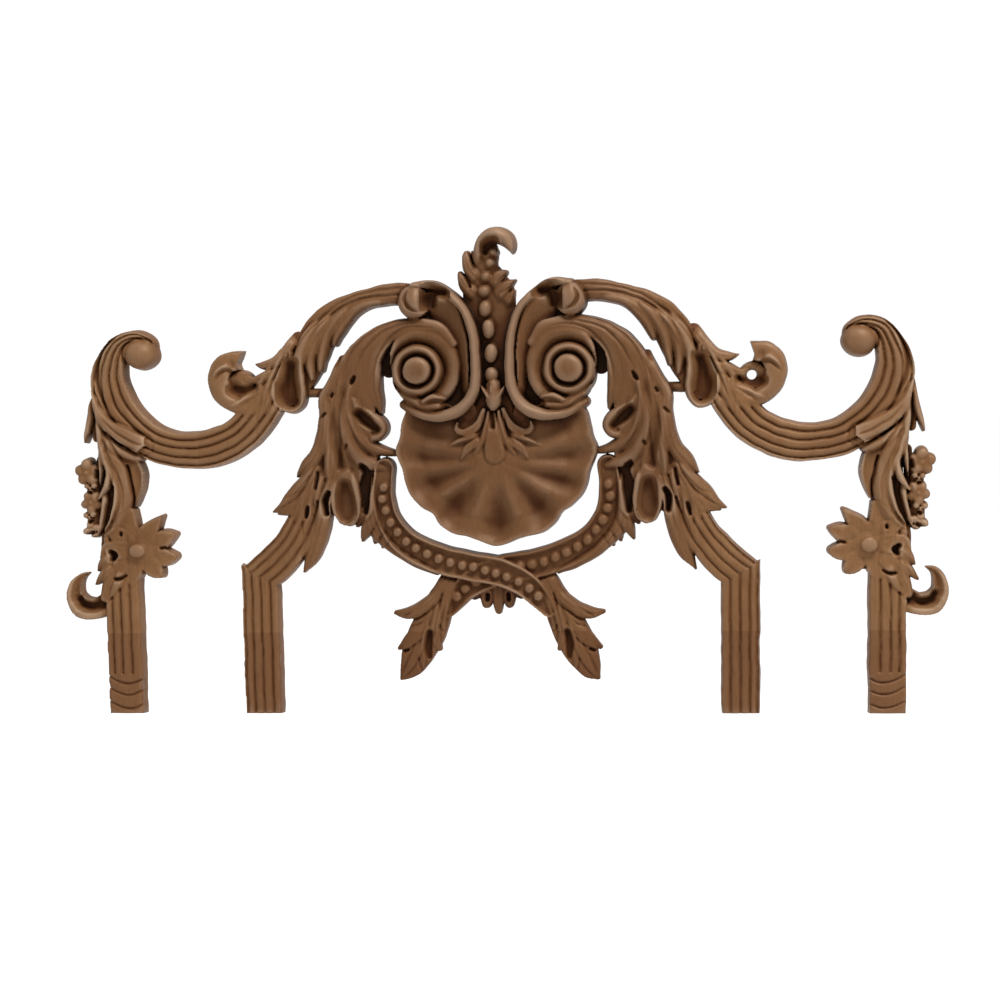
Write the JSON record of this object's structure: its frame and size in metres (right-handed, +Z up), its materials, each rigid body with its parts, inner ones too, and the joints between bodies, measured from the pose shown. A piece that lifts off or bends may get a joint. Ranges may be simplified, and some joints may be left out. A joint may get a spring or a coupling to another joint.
{
  "type": "carved fleuron",
  "caption": "Pierced carved wood applique with a shell between spirals, a leaf crest, crossed bead straps, acanthus leaves, curved arms and reeded legs on a flat back.",
  "frame": {"origin": "on the flat back, behind the shell, at the centre of the overall width and height", "axes": "+Z up, +X to the viewer's right, the carving faces -Y and the flat back faces +Y"},
  "size_m": [0.9102, 0.036, 0.5003],
  "materials": {
    "wood": "satin waxed brown hardwood, darker in the carved hollows"
  },
  "bodies": {
    "root": {"carved_fleuron": "wood"}
  },
  "joints": []
}
